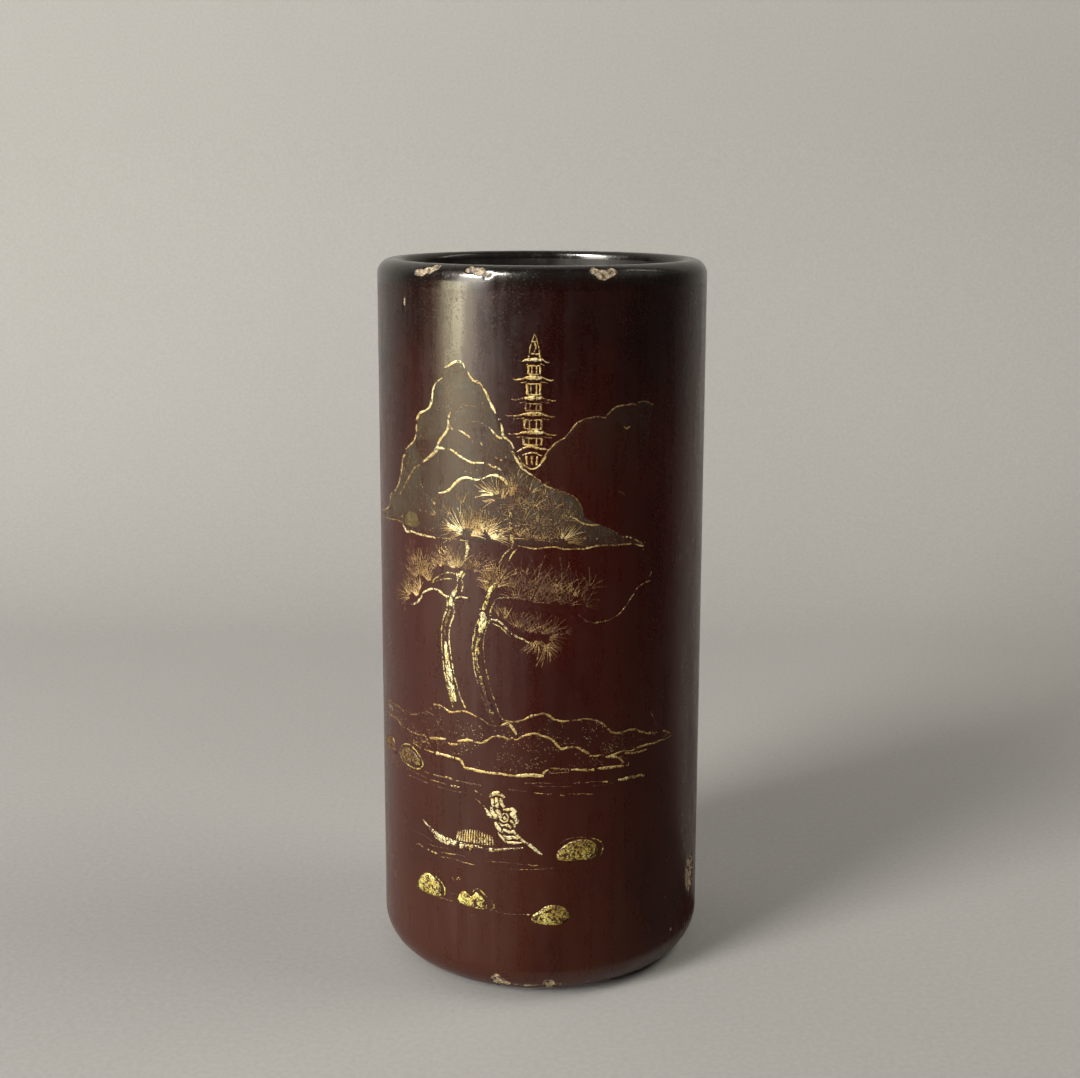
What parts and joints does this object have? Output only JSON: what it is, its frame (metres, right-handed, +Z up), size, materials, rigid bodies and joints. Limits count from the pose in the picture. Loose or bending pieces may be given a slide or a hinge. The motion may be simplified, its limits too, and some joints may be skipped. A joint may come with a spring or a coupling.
{
  "type": "brush holder pot",
  "caption": "Slim round lacquered wooden brush pot, open at the top, with a rounded lip and foot and a raised gold landscape on its front.",
  "frame": {"origin": "centre of the foot, on the surface the pot stands on", "axes": "+Z up along the pot's axis; the picture faces -Y"},
  "size_m": [0.063, 0.0633, 0.136],
  "materials": {
    "wood": "bare turned wood, seen only in deep chips",
    "tan_ground": "matt tan clay and lacquer ground",
    "red_lacquer": "worn satin gloss, deep maroon brown",
    "black_lacquer": "worn satin gloss, near black",
    "gold": "rubbed gold powder on raised lacquer"
  },
  "bodies": {
    "root": {"wall_core": "wood", "base_disc": "wood", "ground_coat": "tan_ground", "body_lacquer": "red_lacquer", "rim_lacquer": "black_lacquer", "lining_lacquer": "black_lacquer", "foot_lacquer": "black_lacquer", "rock_far_left": "gold", "rock_left": "gold", "rock_right": "gold", "rock_low_left": "gold", "rock_low_middle": "gold", "rock_low_right": "gold", "pine_trunk_left": "gold", "pine_trunk_right": "gold", "boat_hull": "gold", "boat_cargo": "gold", "boatman": "gold", "pagoda": "gold"}
  },
  "joints": []
}
